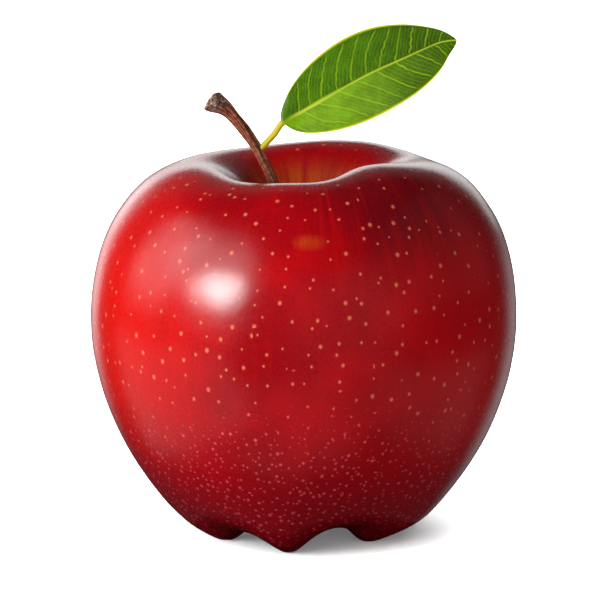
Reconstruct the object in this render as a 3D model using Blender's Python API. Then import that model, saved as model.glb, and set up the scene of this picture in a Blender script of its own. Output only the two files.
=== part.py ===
"""A red dessert apple with its stem, one leaf and the dried calyx underneath.

Run with: blender --background --python part.py

Units are metres, +Z is up, and the fruit stands on five small lobed feet at z = 0 with its
middle over the origin. An azimuth is counted from the front (-Y) towards the right (+X).
The fruit is a turned outline that five lobes, a tilted crown and small lean turn into a
grown shape. The outlines below are in millimetres, as (distance from the axis, height).
"""

import math

import bmesh
import bpy
import numpy as np
from mathutils import Matrix, Vector

MM = 0.001

# The fruit ------------------------------------------------------------------------------
# Outline through the middle of a lobe, from the calyx basin round the foot, the flank and
# the crown to the floor of the stem cavity.
FRUIT_OUTLINE = (
    (0.0, 9.5), (3.0, 9.3), (7.0, 7.2), (10.6, 2.8), (14.4, -0.2), (18.6, 0.9),
    (23.0, 3.9), (27.8, 9.0), (33.2, 17.0), (37.4, 26.5), (39.7, 36.0), (40.0, 45.0),
    (38.5, 54.3), (34.9, 62.2), (29.0, 68.4), (23.0, 70.9), (18.2, 70.8), (13.5, 68.3),
    (9.0, 63.2), (4.6, 58.4), (0.0, 57.0),
)
OUTLINE_STEPS = 2  # faces along each span of the outline
FRUIT_SEGMENTS = 90

LOBE_AZIMUTHS = np.radians([-11, 65, 140, 213, 287])
LOBE_WIDTHS = np.radians([18, 25, 23, 23, 20])
FOOT_REACH = np.array([-0.02, -0.12, 0, 0, 0])  # how much further out each foot stands
FOOT_REACH_WIDTH = math.radians(42)
FURROW_RISE = 4.9  # height of the arches between the feet
FURROW_RADIUS = 15.0
FURROW_INNER, FURROW_OUTER = 6.0, 12.0
SHALLOW_ARCH = (-42, 22, 0.28)  # azimuth, width and share by which the left arch is lower
FLANK_INSET = 0.4  # how far the furrows lie inside the lobes on the flanks
CREST_DIP = 0.6  # how far the furrows lie below the lobes on the crown
# Swells and dips of the crown's crest: azimuth, width and height.
CREST_SWELLS = (
    (39, 26, 2.3), (80, 32, 0.9), (122, 25, -0.6), (160, 30, 0.6), (211, 22, -0.9),
    (-20, 20, -0.2),
)
CAVITY_INSET = (48, 34, 0.16)  # azimuth, width and share by which the cavity is narrower
CROWN_LEAN = 0.35  # the crown leans a little to +X
# Where each of these changes sets in or fades out: (start, end) of a smooth rise.
BASE_HEIGHTS = (20, 40)
FOOT_RADII = (FURROW_RADIUS, 25)
CROWN_HEIGHTS, CROWN_RADII = (50, 64), (26, 36)
FLANK_HEIGHTS, FLANK_RADII = (62, 68), (20, 30)
CAVITY_HEIGHTS, CAVITY_RADII = (50, 60), (12, 24)
LEAN_HEIGHTS = (45, 70)

# The stem -------------------------------------------------------------------------------
# Centre line as (x, z), and the stem's radius there.
STEM_PATH = (
    (-1.6, 58.6), (-3.2, 62.2), (-5.6, 67.2), (-8.5, 73.2), (-11.6, 78.0), (-14.0, 80.7),
    (-15.7, 82.2), (-17.0, 83.3),
)
STEM_RADII = (1.0, 0.9, 0.9, 0.95, 1.12, 1.2, 1.6, 1.9)
STEM_STEPS = 3
STEM_BEVEL_RESOLUTION = 4

# The leaf -------------------------------------------------------------------------------
LEAF_STALK_PATH = ((-7.5, 74.3), (-6.5, 75.4), (-5.3, 76.8))
LEAF_STALK_RADIUS = 0.62
LEAF_MIDRIB = (
    (-4.0, 78.6), (-0.6, 80.6), (6.4, 84.7), (12.6, 88.1), (17.6, 90.4), (22.8, 92.8),
    (26.0, 94.0), (28.5, 94.3),
)
LEAF_STEPS = 3
LEAF_HALF_WIDTH = 8.0
LEAF_ROUNDNESS = 0.6  # power of the oval: 0.5 is an ellipse, and more is more pointed
LEAF_TIP_TAPER = 0.38  # how much the blade narrows towards its drawn-out tip
LEAF_TIP_LEAN = 0.28  # the upper half narrows by this much more, the lower half by less
LEAF_TIP_POWER = 8  # how close to the tip that narrowing keeps
LEAF_BLADE_ONSET = 0.12  # share of the blade over which the stalk flattens into it
LEAF_HALF_THICKNESS = 0.25
LEAF_TIP_RADIUS = 0.12
LEAF_FOLD = 0.16  # how far the margins stand forward of the midrib, per unit of width
LEAF_TILT = math.radians(16)  # the blade leans back by this much
LEAF_SEGMENTS = 20

# The calyx ------------------------------------------------------------------------------
SEPAL_COUNT = 5
SEPAL_PATH = ((1.9, 9.0), (3.0, 8.2), (3.7, 6.9), (3.7, 5.6), (3.0, 4.5), (2.1, 3.9))
SEPAL_STEPS = 2
SEPAL_HALF_WIDTH = 1.15
SEPAL_TIP_HALF_WIDTH = 0.15
SEPAL_TAPER = 0.7  # power of the share left to the tip: less is blunter
SEPAL_HALF_THICKNESS = 0.2
SEPAL_THINNING = 0.5  # share of the thickness lost at the tip
SEPAL_FOLD = 0.15  # how far the margins stand behind the middle, per unit of width
SEPAL_SEGMENTS = 10
TUFT_OUTLINE = (
    (0.0, 9.1), (1.1, 9.05), (1.0, 8.4), (0.75, 7.6), (0.9, 6.9), (0.6, 6.4), (0.0, 6.2),
)
TUFT_STEPS = 2
TUFT_SEGMENTS = 12

# The looks: colour, roughness.
SKIN = ((0.50, 0.008, 0.010), 0.25)
BARK = ((0.12, 0.035, 0.020), 0.75)
LEAF_GREEN = ((0.10, 0.26, 0.020), 0.40)
DRY_SEPAL = ((0.12, 0.075, 0.040), 0.85)
DRY_STAMEN = ((0.07, 0.040, 0.022), 0.90)


def clear_scene():
    for obj in list(bpy.data.objects):
        bpy.data.objects.remove(obj)


def smooth_step(low, high, value):
    """0 below low, 1 above high, and a smooth rise between them."""
    share = np.clip((value - low) / (high - low), 0, 1)
    return share * share * (3 - 2 * share)


def bell(azimuth, centre, width):
    """A smooth swell of height 1 round an azimuth, all in radians."""
    turn = (azimuth - centre + math.pi) % math.tau - math.pi
    return np.exp(-((turn / width) ** 2))


def smooth_curve(points, steps, mirrored=False):
    """Points on the cubic B-spline that passes through the given points.

    Its control points are solved for. Mirrored ends reflect the curve in the axis, so that a
    turned outline crosses it level; otherwise the ends run out straight.
    """
    points = np.array(points, float)
    count = len(points)
    system = 4 * np.eye(count) + np.eye(count, k=1) + np.eye(count, k=-1)
    target = 6 * points
    if mirrored:
        # Across the axis the radius changes sign, so only the heights see a neighbour twice.
        heights = system.copy()
        heights[0, 1] = heights[-1, -2] = 2
        radii = system.copy()
        radii[0, 1] = radii[-1, -2] = 0
        control = np.column_stack(
            [np.linalg.solve(radii, target[:, 0]), np.linalg.solve(heights, target[:, 1])]
        )
        flip = np.array([-1, 1])
        before, after = control[1] * flip, control[-2] * flip
    else:
        system[0, 1] = system[-1, -2] = 0
        target[[0, -1]] = 4 * points[[0, -1]]
        control = np.linalg.solve(system, target)
        before, after = 2 * control[0] - control[1], 2 * control[-1] - control[-2]
    control = np.vstack([before, control, after])
    share = np.linspace(0, 1, steps, endpoint=False)[:, None]
    weights = (
        (1 - share) ** 3,
        3 * share**3 - 6 * share**2 + 4,
        -3 * share**3 + 3 * share**2 + 3 * share + 1,
        share**3,
    )
    spans = [
        sum(weight * control[i + k] for k, weight in enumerate(weights)) / 6
        for i in range(count - 1)
    ]
    return np.vstack([*spans, points[-1:]])


def principled(name, look):
    colour, roughness = look
    material = bpy.data.materials.new(name)
    material.use_nodes = True
    shader = material.node_tree.nodes["Principled BSDF"]
    shader.inputs["Base Color"].default_value = (*colour, 1)
    shader.inputs["Roughness"].default_value = roughness
    material.diffuse_color = (*colour, 1)
    return material


def add_piece(name, bm, material):
    """Turns a closed bmesh into a smooth-shaded object with its normals facing out."""
    bmesh.ops.recalc_face_normals(bm, faces=bm.faces)
    mesh = bpy.data.meshes.new(name)
    bm.to_mesh(mesh)
    bm.free()
    mesh.shade_smooth()
    mesh.materials.append(material)
    obj = bpy.data.objects.new(name, mesh)
    bpy.context.scene.collection.objects.link(obj)
    return obj


def turned(outline, segments):
    """A closed body turned about +Z from an outline whose two ends lie on the axis."""
    bm = bmesh.new()
    verts = [bm.verts.new((r * MM, 0, z * MM)) for r, z in outline]
    edges = [bm.edges.new(pair) for pair in zip(verts, verts[1:])]
    bmesh.ops.spin(
        bm,
        geom=verts + edges,
        axis=(0, 0, 1),
        cent=(0, 0, 0),
        angle=math.tau,
        steps=segments,
        use_merge=True,
    )
    bmesh.ops.remove_doubles(bm, verts=bm.verts, dist=0.001 * MM)
    return bm


def lofted(rings):
    """A closed body through rings of points, with a face across each end."""
    bm = bmesh.new()
    loops = [[bm.verts.new(point) for point in ring] for ring in rings]
    for near, far in zip(loops, loops[1:]):
        for i in range(len(near)):
            bm.faces.new((near[i - 1], near[i], far[i], far[i - 1]))
    bm.faces.new(loops[0])
    bm.faces.new(reversed(loops[-1]))
    return bm


def grown_point(point):
    """Moves a point of the turned outline to its place on the lobed, leaning fruit."""
    radius = math.hypot(point.x, point.y) / MM
    height = point.z / MM
    azimuth = math.atan2(point.x, -point.y)

    lobes = bell(azimuth, LOBE_AZIMUTHS, LOBE_WIDTHS).sum()
    furrow = 1 - lobes
    below = 1 - smooth_step(*BASE_HEIGHTS, height)
    above = smooth_step(*CROWN_HEIGHTS, height) * (1 - smooth_step(*CROWN_RADII, radius))
    flank = smooth_step(*FLANK_RADII, radius) * (1 - smooth_step(*FLANK_HEIGHTS, height))
    inside = smooth_step(*CAVITY_HEIGHTS, height) * (1 - smooth_step(*CAVITY_RADII, radius))

    side = FURROW_INNER if radius < FURROW_RADIUS else FURROW_OUTER
    arch = math.exp(-(((radius - FURROW_RADIUS) / side) ** 2))
    swell = sum(
        rise * bell(azimuth, math.radians(centre), math.radians(width))
        for centre, width, rise in CREST_SWELLS
    )
    centre, width, share = CAVITY_INSET
    narrowing = share * bell(azimuth, math.radians(centre), math.radians(width))
    reach = (bell(azimuth, LOBE_AZIMUTHS, FOOT_REACH_WIDTH) * FOOT_REACH).sum()

    centre, width, share = SHALLOW_ARCH
    rise = FURROW_RISE * (1 - share * bell(azimuth, math.radians(centre), math.radians(width)))
    height += rise * furrow * arch * below
    height += above * (swell - CREST_DIP * furrow)
    radius -= FLANK_INSET * furrow * flank
    radius *= 1 - inside * narrowing
    radius *= 1 + reach * below * (1 - smooth_step(*FOOT_RADII, radius))
    lean = CROWN_LEAN * smooth_step(*LEAN_HEIGHTS, height)
    return Vector(
        (
            (radius * math.sin(azimuth) + lean) * MM,
            -radius * math.cos(azimuth) * MM,
            max(height, 0) * MM,  # the feet are worn flat where the fruit rests
        )
    )


def make_fruit():
    outline = smooth_curve(FRUIT_OUTLINE, OUTLINE_STEPS, mirrored=True)
    bm = turned(outline, FRUIT_SEGMENTS)
    for vert in bm.verts:
        vert.co = grown_point(vert.co)
    return add_piece("fruit_body", bm, principled("apple_skin", SKIN))


def make_stem():
    """A round tube that swells to its broken end."""
    centres = smooth_curve(STEM_PATH, STEM_STEPS)
    radii = smooth_curve([(r, 0) for r in STEM_RADII], STEM_STEPS)[:, 0]
    curve = bpy.data.curves.new("stem", "CURVE")
    curve.dimensions = "3D"
    curve.bevel_depth = MM
    curve.bevel_resolution = STEM_BEVEL_RESOLUTION
    curve.use_fill_caps = True
    spline = curve.splines.new("POLY")
    spline.points.add(len(centres) - 1)
    for point, (x, z), radius in zip(spline.points, centres, radii):
        point.co = (x * MM, 0, z * MM, 1)
        point.radius = radius
    spline.use_smooth = True
    curve.materials.append(principled("stem_bark", BARK))
    obj = bpy.data.objects.new("stem", curve)
    bpy.context.scene.collection.objects.link(obj)
    return obj


def leaf_half_widths(share):
    """The blade's upper and lower half widths at a share of its length, an oval with a tip."""
    oval = LEAF_HALF_WIDTH * (4 * share * (1 - share)) ** LEAF_ROUNDNESS
    return tuple(
        oval * (1 - (LEAF_TIP_TAPER + lean) * share**LEAF_TIP_POWER)
        for lean in (LEAF_TIP_LEAN, -LEAF_TIP_LEAN)
    )


def flat_ring(centre, along, across, half_widths, half_thickness, fold, segments):
    """A lens-shaped ring across a path.

    Its two edges stand off from the middle by fold per unit of width, towards across x along.
    """
    facing = across.cross(along)
    ring = []
    for i in range(segments):
        angle = math.tau * i / segments
        aside = half_widths[math.cos(angle) < 0] * math.cos(angle)
        lift = half_thickness * math.sin(angle) + fold * abs(aside)
        ring.append((centre + across * aside + facing * lift) * MM)
    return ring


def make_leaf():
    path = smooth_curve(LEAF_STALK_PATH + LEAF_MIDRIB, LEAF_STEPS)
    steps = np.linalg.norm(np.diff(path, axis=0), axis=1)
    travelled = np.concatenate([[0], np.cumsum(steps)])
    blade_start = travelled[LEAF_STEPS * len(LEAF_STALK_PATH)]
    rings = []
    for i, (x, z) in enumerate(path):
        ahead = path[min(i + 1, len(path) - 1)] - path[max(i - 1, 0)]
        along = Vector((ahead[0], 0, ahead[1])).normalized()
        upright = Vector((-along.z, 0, along.x))
        across = Matrix.Rotation(-LEAF_TILT, 3, along) @ upright
        share = (travelled[i] - blade_start) / (travelled[-1] - blade_start)
        in_blade = float(smooth_step(0, LEAF_BLADE_ONSET, share))
        narrowest = LEAF_STALK_RADIUS * (1 - in_blade) + LEAF_TIP_RADIUS * in_blade
        widths = [max(width, narrowest) for width in leaf_half_widths(max(share, 0))]
        thickness = LEAF_STALK_RADIUS + (LEAF_HALF_THICKNESS - LEAF_STALK_RADIUS) * in_blade
        # across x along points backwards here, so a forward fold is below 0.
        fold = -LEAF_FOLD * in_blade
        rings.append(
            flat_ring(Vector((x, 0, z)), along, across, widths, thickness, fold, LEAF_SEGMENTS)
        )
    return add_piece("leaf", lofted(rings), principled("leaf_green", LEAF_GREEN))


def make_sepal(index, material):
    """One dried sepal: a narrow blade that hangs from the basin's floor and curls inwards."""
    path = smooth_curve(SEPAL_PATH, SEPAL_STEPS)
    last = len(path) - 1
    rings = []
    for i, (r, z) in enumerate(path):
        ahead = path[min(i + 1, last)] - path[max(i - 1, 0)]
        along = Vector((0, -ahead[0], ahead[1])).normalized()
        share = i / last
        width = SEPAL_HALF_WIDTH * (1 - share) ** SEPAL_TAPER + SEPAL_TIP_HALF_WIDTH
        widths = (width, width)
        thickness = SEPAL_HALF_THICKNESS * (1 - SEPAL_THINNING * share)
        centre, across = Vector((0, -r, z)), Vector((1, 0, 0))
        rings.append(
            flat_ring(centre, along, across, widths, thickness, SEPAL_FOLD, SEPAL_SEGMENTS)
        )
    obj = add_piece(f"sepal_{index + 1}", lofted(rings), material)
    obj.rotation_euler.z = LOBE_AZIMUTHS[0] + math.tau * (index + 0.5) / SEPAL_COUNT
    return obj


def make_calyx():
    sepal = principled("dried_sepal", DRY_SEPAL)
    for index in range(SEPAL_COUNT):
        make_sepal(index, sepal)
    outline = smooth_curve(TUFT_OUTLINE, TUFT_STEPS, mirrored=True)
    tuft = turned(outline, TUFT_SEGMENTS)
    add_piece("stamen_tuft", tuft, principled("dried_stamens", DRY_STAMEN))


def main():
    clear_scene()
    make_fruit()
    make_stem()
    make_leaf()
    make_calyx()


main()
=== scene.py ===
"""A red dessert apple with its stem, one leaf and the dried calyx underneath, in a white studio.

Lengths in the size fields are millimetres; Blender's scene is in metres. +Z is up and the
fruit stands on its lobed feet at z = 0 with its middle over the origin. An azimuth is counted
from the front (-Y) towards the right (+X). Noise scales are features for each millimetre.
"""

import logging
import math
from collections.abc import Sequence
from dataclasses import dataclass, field
from enum import Enum

import bpy
import numpy as np
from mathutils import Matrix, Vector


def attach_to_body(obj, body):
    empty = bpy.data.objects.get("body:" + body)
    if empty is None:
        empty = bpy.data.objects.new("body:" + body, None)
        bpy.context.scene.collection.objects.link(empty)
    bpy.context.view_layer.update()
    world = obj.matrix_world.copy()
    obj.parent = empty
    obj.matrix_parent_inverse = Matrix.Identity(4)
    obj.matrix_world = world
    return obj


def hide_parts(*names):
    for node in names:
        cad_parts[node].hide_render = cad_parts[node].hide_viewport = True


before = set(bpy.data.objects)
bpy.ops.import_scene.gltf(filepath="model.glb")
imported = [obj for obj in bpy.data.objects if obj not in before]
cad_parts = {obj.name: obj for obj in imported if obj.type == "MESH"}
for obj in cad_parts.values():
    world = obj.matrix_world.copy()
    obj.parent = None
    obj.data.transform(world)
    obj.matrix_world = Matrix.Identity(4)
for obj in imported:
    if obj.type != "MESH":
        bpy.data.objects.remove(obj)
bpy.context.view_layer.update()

log = logging.getLogger("apple")

MM = 0.001
BODY = "root"

# What every light faces: the middle of the fruit.
LIT_POINT = Vector((0, 0, 0.045))
WHITE = (1.0, 1.0, 1.0, 1.0)

Grid = np.ndarray
Colour = tuple[float, float, float, float]
Path = tuple[tuple[float, float], ...]
Limits = tuple[float, float]


class Slot(Enum):
    """The record's material slots."""

    SKIN = "skin"
    BARK = "bark"
    LEAF = "leaf"
    SEPAL = "dried_sepal"
    STAMENS = "dried_stamens"


# Shapes from formulas -------------------------------------------------------------------


def smooth_step(low: float, high: float, value: Grid) -> Grid:
    """A smooth rise from 0 at low to 1 at high: 3s^2 - 2s^3 of the share s in between.

    Args:
        low: Value at and below which the result is 0.
        high: Value at and above which the result is 1.
        value: The values to grade.

    Returns:
        The graded values, in the shape of value.
    """
    share = np.clip((value - low) / (high - low), 0, 1)
    return share * share * (3 - 2 * share)


def bell(azimuth: Grid, centre: float, width: float) -> Grid:
    """A swell of height 1 round an azimuth: exp(-(turn / width)^2), all in radians.

    Args:
        azimuth: The azimuths to grade.
        centre: Azimuth of the top of the swell.
        width: Turn from the centre at which the swell has fallen to 1/e.

    Returns:
        The height of the swell at each azimuth.
    """
    turn = (azimuth - centre + math.pi) % math.tau - math.pi
    return np.exp(-((turn / width) ** 2))


def smooth_curve(
    points: Sequence[tuple[float, ...]], steps: int, mirrored: bool = False
) -> Grid:
    """Points on the cubic B-spline that passes through the given points.

    The control points C solve (C[i-1] + 4 C[i] + C[i+1]) / 6 = point[i].

    Args:
        points: What the curve passes through.
        steps: Points along each span.
        mirrored: Reflects the curve in the axis at both ends, so that a turned outline
            crosses it level. Otherwise the ends run out straight.

    Returns:
        One row for each point of the curve.
    """
    target = np.array(points, float)
    count = len(target)
    system = 4 * np.eye(count) + np.eye(count, k=1) + np.eye(count, k=-1)
    if mirrored:
        heights, radii = system.copy(), system.copy()
        heights[0, 1] = heights[-1, -2] = 2
        radii[0, 1] = radii[-1, -2] = 0
        control = np.column_stack(
            [
                np.linalg.solve(radii, 6 * target[:, 0]),
                np.linalg.solve(heights, 6 * target[:, 1]),
            ]
        )
        flip = np.array([-1, 1])
        before, after = control[1] * flip, control[-2] * flip
    else:
        system[0, 1] = system[-1, -2] = 0
        right = 6 * target
        right[[0, -1]] = 4 * target[[0, -1]]
        control = np.linalg.solve(system, right)
        before, after = 2 * control[0] - control[1], 2 * control[-1] - control[-2]
    control = np.vstack([before, control, after])
    share = np.linspace(0, 1, steps, endpoint=False)[:, None]
    weights = (
        (1 - share) ** 3,
        3 * share**3 - 6 * share**2 + 4,
        -3 * share**3 + 3 * share**2 + 3 * share + 1,
        share**3,
    )
    spans = [
        sum(weight * control[i + k] for k, weight in enumerate(weights)) / 6
        for i in range(count - 1)
    ]
    return np.vstack([*spans, target[-1:]])


def evenly(curve: Grid, count: int) -> Grid:
    """A curve's points moved to equal distances along it.

    Args:
        curve: Points along the curve.
        count: How many points to return.

    Returns:
        That many points, the first and last as given.
    """
    steps = np.linalg.norm(np.diff(curve, axis=0), axis=1)
    travelled = np.concatenate([[0], np.cumsum(steps)])
    wanted = np.linspace(0, travelled[-1], count)
    return np.column_stack([np.interp(wanted, travelled, axis) for axis in curve.T])


def ripples(points: Grid, wavelength: float, seed: int, waves: int = 24) -> Grid:
    """Smooth unevenness of about -1 to 1: the sum of plane waves in seeded directions.

    Args:
        points: Rows of coordinates.
        wavelength: Length of every wave, in the units of the points.
        seed: Chooses the directions and phases, so each run gives the same surface.
        waves: How many waves are added.

    Returns:
        One value for each row.
    """
    rng = np.random.default_rng(seed)
    directions = rng.normal(size=(waves, points.shape[-1]))
    directions /= np.linalg.norm(directions, axis=1, keepdims=True)
    phases = rng.uniform(0, math.tau, waves)
    angles = points @ directions.T * (math.tau / wavelength) + phases
    return np.sin(angles).sum(axis=-1) * math.sqrt(1 / waves)


def upright_path(curve: Grid) -> tuple[Grid, Grid]:
    """Lays a curve of (x, z) rows in the plane y = 0.

    Args:
        curve: Points along the curve, each followed by any other values.

    Returns:
        The points, and the unit vectors square to the curve in that plane, which are its
        direction turned a quarter turn from +X towards +Z.
    """
    level = np.zeros(len(curve))
    points = np.column_stack([curve[:, 0], level, curve[:, 1]])
    ahead = np.gradient(points, axis=0)
    ahead /= np.linalg.norm(ahead, axis=1, keepdims=True)
    return points, np.column_stack([-ahead[:, 2], level, ahead[:, 0]])


def direction(azimuth: float, elevation: float) -> Vector:
    """The unit vector that points from the fruit to an azimuth and elevation.

    Args:
        azimuth: Degrees from the front towards the right.
        elevation: Degrees above the horizon.

    Returns:
        The vector.
    """
    turn, rise = math.radians(azimuth), math.radians(elevation)
    level = math.cos(rise)
    return Vector((math.sin(turn) * level, -math.cos(turn) * level, math.sin(rise)))


def place(name: str, data: bpy.types.ID) -> bpy.types.Object:
    """Makes an object of a mesh, a light or a camera and puts it in the scene.

    Args:
        name: The object's name.
        data: What it shows.

    Returns:
        The object, at the origin.
    """
    obj = bpy.data.objects.new(name, data)
    bpy.context.scene.collection.objects.link(obj)
    return obj


@dataclass
class Surface:
    """A closed surface on rings of points, each end drawn together in one pole."""

    rings: Grid
    values: dict[str, Grid] = field(default_factory=dict)

    def faces(self) -> tuple[Grid, Grid]:
        """The corner indices of all faces.

        Returns:
            Quads between the rings, and triangles from the end rings to the poles.
        """
        count, around = self.rings.shape[:2]
        index = np.arange(count * around).reshape(count, around)
        turned = np.roll(index, -1, axis=1)
        quads = np.stack([index[:-1], turned[:-1], turned[1:], index[1:]], axis=-1)
        start, end = count * around, count * around + 1
        first = np.stack([np.full(around, start), turned[0], index[0]], axis=-1)
        last = np.stack([np.full(around, end), index[-1], turned[-1]], axis=-1)
        return quads.reshape(-1, 4), np.vstack([first, last])

    def build(self, name: str, material: bpy.types.Material) -> bpy.types.Object:
        """Makes the object, with the values as point attributes.

        Args:
            name: The object's name.
            material: What it is made of.

        Returns:
            The object, at the origin, with its points in metres.
        """
        poles = np.stack([self.rings[0].mean(axis=0), self.rings[-1].mean(axis=0)])
        points = np.vstack([self.rings.reshape(-1, 3), poles]) * MM
        quads, triangles = self.faces()
        mesh = bpy.data.meshes.new(name)
        mesh.from_pydata(points, [], [*quads.tolist(), *triangles.tolist()])
        mesh.validate()
        for key, grid in self.values.items():
            spread = np.concatenate([grid.ravel(), [grid[0].mean(), grid[-1].mean()]])
            attribute = mesh.attributes.new(key, "FLOAT", "POINT")
            attribute.data.foreach_set("value", spread.astype(np.float32))
        mesh.shade_smooth()
        mesh.materials.append(material)
        return place(name, mesh)


# Shader graphs --------------------------------------------------------------------------


def srgb(code: str) -> Colour:
    """Turns an sRGB hex colour into the linear colour that shaders take.

    Args:
        code: Six hex digits, with a leading #.

    Returns:
        Linear red, green, blue and an alpha of 1.
    """
    parts = [int(code[i : i + 2], 16) / 255 for i in (1, 3, 5)]
    linear = [c / 12.92 if c <= 0.04045 else ((c + 0.055) / 1.055) ** 2.4 for c in parts]
    return (*linear, 1.0)


class Graph:
    """The node graph of one material, or of the world."""

    def __init__(self, tree: bpy.types.NodeTree) -> None:
        """Starts an empty graph.

        Args:
            tree: The node tree to fill.
        """
        self.tree = tree
        tree.nodes.clear()

    def add(
        self, kind: str, *inputs: object, out: str | int | None = None, **settings: object
    ) -> bpy.types.NodeSocket:
        """Adds a node with its settings and links.

        Args:
            kind: The node's type, without the leading ShaderNode.
            inputs: A socket to link or a value for each shown input, in order. None leaves
                the input as it is.
            out: Name or index of the output to return, or None for the first shown one.
            settings: The node's own settings. Names with a capital are inputs, in which _
                stands for a space.

        Returns:
            The chosen output, or the node if it has none.
        """
        node = self.tree.nodes.new(f"ShaderNode{kind}")
        for key, value in settings.items():
            if not key[0].isupper():
                setattr(node, key, value)
        shown = [socket for socket in node.inputs if socket.enabled]
        pairs = list(zip(shown, inputs))
        pairs += [
            (node.inputs[key.replace("_", " ")], value)
            for key, value in settings.items()
            if key[0].isupper()
        ]
        for socket, value in pairs:
            if isinstance(value, bpy.types.NodeSocket):
                self.tree.links.new(value, socket)
            elif value is not None:
                socket.default_value = value
        if out is not None:
            return node.outputs[out]
        return next((socket for socket in node.outputs if socket.enabled), node)

    def mm(self) -> bpy.types.NodeSocket:
        """The point on the object in millimetres.

        Returns:
            A vector output.
        """
        point = self.add("TexCoord", out="Object")
        return self.add("VectorMath", point, operation="SCALE", Scale=1 / MM)

    def math(self, operation: str, *values: object) -> bpy.types.NodeSocket:
        """A sum on numbers.

        Args:
            operation: The Math node's operation.
            values: Sockets or numbers.

        Returns:
            The result.
        """
        return self.add("Math", *values, operation=operation)

    def grade(
        self, value: object, low: float, high: float, start: float = 0.0, end: float = 1.0
    ) -> bpy.types.NodeSocket:
        """A smooth rise from start, where the value is low, to end, where it is high.

        Args:
            value: The socket to grade.
            low: Value at which the rise begins.
            high: Value at which it ends.
            start: Result at low.
            end: Result at high.

        Returns:
            The graded value.
        """
        return self.add(
            "MapRange", value, low, high, start, end, interpolation_type="SMOOTHSTEP"
        )

    def blend(self, share: object, below: object, above: object) -> bpy.types.NodeSocket:
        """Mixes two colours.

        Args:
            share: 0 for the first colour, 1 for the second.
            below: The first colour.
            above: The second colour.

        Returns:
            The mixed colour.
        """
        return self.add("Mix", share, below, above, data_type="RGBA")


def new_material(name: str) -> tuple[bpy.types.Material, Graph]:
    """A material with an empty graph.

    Args:
        name: What it is and how its surface was made.

    Returns:
        The material and its graph.
    """
    material = bpy.data.materials.new(name)
    material.use_nodes = True
    return material, Graph(material.node_tree)


# Finishes -------------------------------------------------------------------------------


@dataclass(frozen=True)
class TonePatch:
    """A patch of another tone, in full up to near from its centre and gone at far from it."""

    centre: tuple[float, float, float]
    near: float
    far: float
    share: float
    colour: str


@dataclass(frozen=True)
class Pores:
    """Scattered pores: the mean distance between them and the reach of the largest."""

    cell: float
    size: float

    def add_to(
        self, g: Graph, mm: bpy.types.NodeSocket, shown: bpy.types.NodeSocket
    ) -> bpy.types.NodeSocket:
        """Marks what lies close to the line through a seed that is square to the skin.

        Args:
            g: The graph to add to.
            mm: The point on the object.
            shown: Share of the pores' size at this place.

        Returns:
            1 in the middle of a pore, falling softly to 0 at its edge.
        """
        seed = g.add("TexVoronoi", mm, Scale=1 / self.cell, Randomness=1.0, out="Position")
        gap = g.add("VectorMath", mm, seed, operation="SUBTRACT")
        out = g.add("NewGeometry", out="Normal")
        deep = g.add("VectorMath", gap, out, operation="DOT_PRODUCT", out="Value")
        off = g.add("VectorMath", out, operation="SCALE", Scale=deep)
        flat = g.add("VectorMath", gap, off, operation="SUBTRACT")
        flat = g.add("VectorMath", flat, (1.0, 1.0, 0.85), operation="MULTIPLY")
        distance = g.add("VectorMath", flat, operation="LENGTH", out="Value")
        chance = g.add("SeparateXYZ", seed.node.outputs["Color"])
        reach = g.math("MULTIPLY", g.grade(chance, 0.0, 1.0, 0.55, 1.0), self.size)
        reach = g.math("MULTIPLY", reach, shown)
        inside = g.math("DIVIDE", distance, g.math("MAXIMUM", reach, 0.001))
        return g.grade(inside, 1.0, 0.15)


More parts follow.
